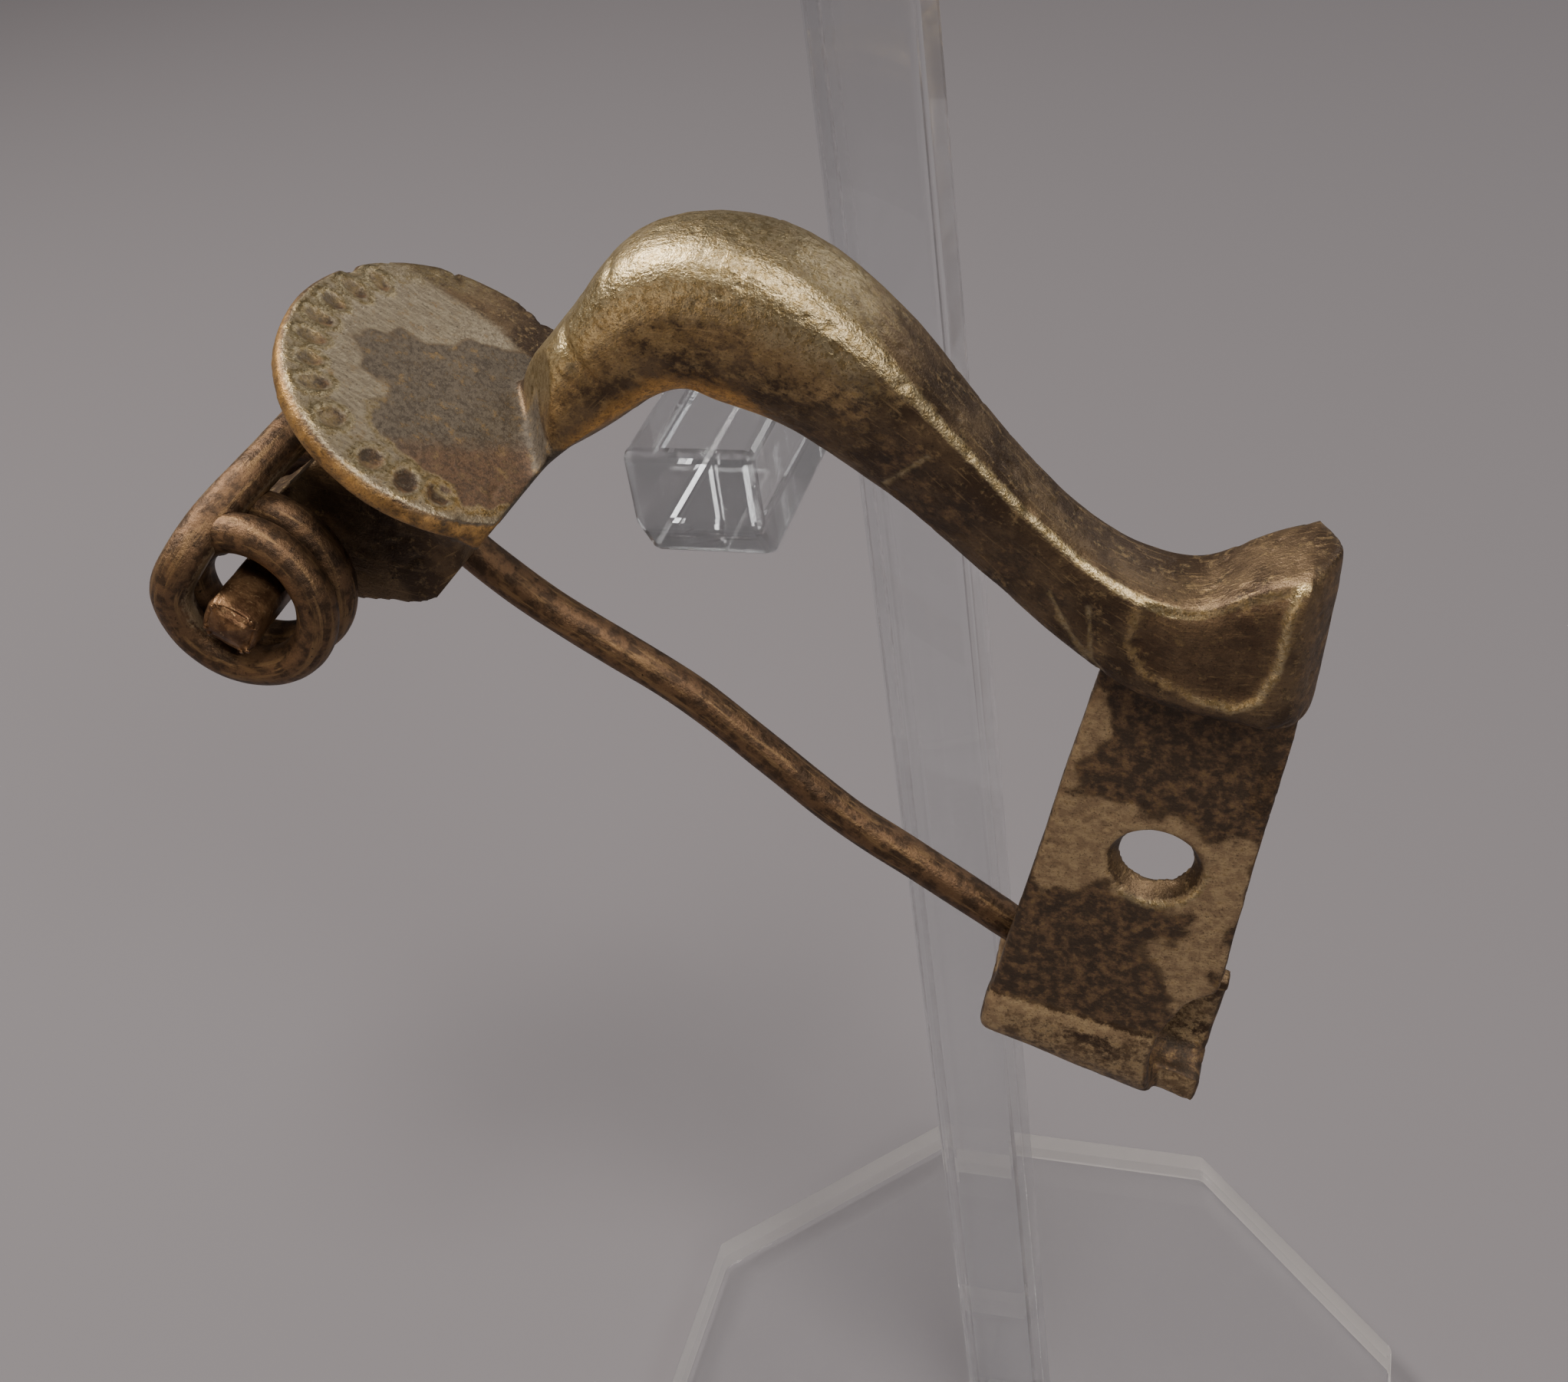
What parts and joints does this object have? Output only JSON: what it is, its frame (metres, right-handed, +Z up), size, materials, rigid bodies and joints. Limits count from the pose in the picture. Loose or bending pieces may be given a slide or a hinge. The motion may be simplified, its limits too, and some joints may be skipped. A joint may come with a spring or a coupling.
{
  "type": "fibula brooch",
  "caption": "Ancient bronze knee brooch with a disc head, coiled wire spring and pin, and upright catchplate, hung on a clear acrylic stand with a square upright and an octagonal foot.",
  "frame": {"origin": "centre of the underside of the stand's octagonal foot", "axes": "+Z up along the stand's upright, +X from the brooch's head towards its foot, -Y towards the side the brooch hangs on"},
  "size_m": [0.0495, 0.046, 0.099],
  "materials": {
    "bronze": "worn, patinated, satin",
    "wire_bronze": "worn, patinated, satin",
    "acrylic": "clear, polished"
  },
  "bodies": {
    "brooch_on_stand": {"stand_foot": "acrylic", "stand_upright": "acrylic", "stand_peg": "acrylic", "brooch_casting": "bronze", "axle": "wire_bronze", "spring": "wire_bronze"},
    "pin": {"pin": "wire_bronze"}
  },
  "joints": [
    {"name": "pin_hinge", "type": "hinge", "parent": "brooch_on_stand", "child": "pin", "pos_m": [-0.02283, -0.0113, 0.07676], "axis": [0, -1, 0], "range_deg": [0, 8], "stiffness_Nm_per_rad": 0.02, "springref_deg": -28.65}
  ]
}
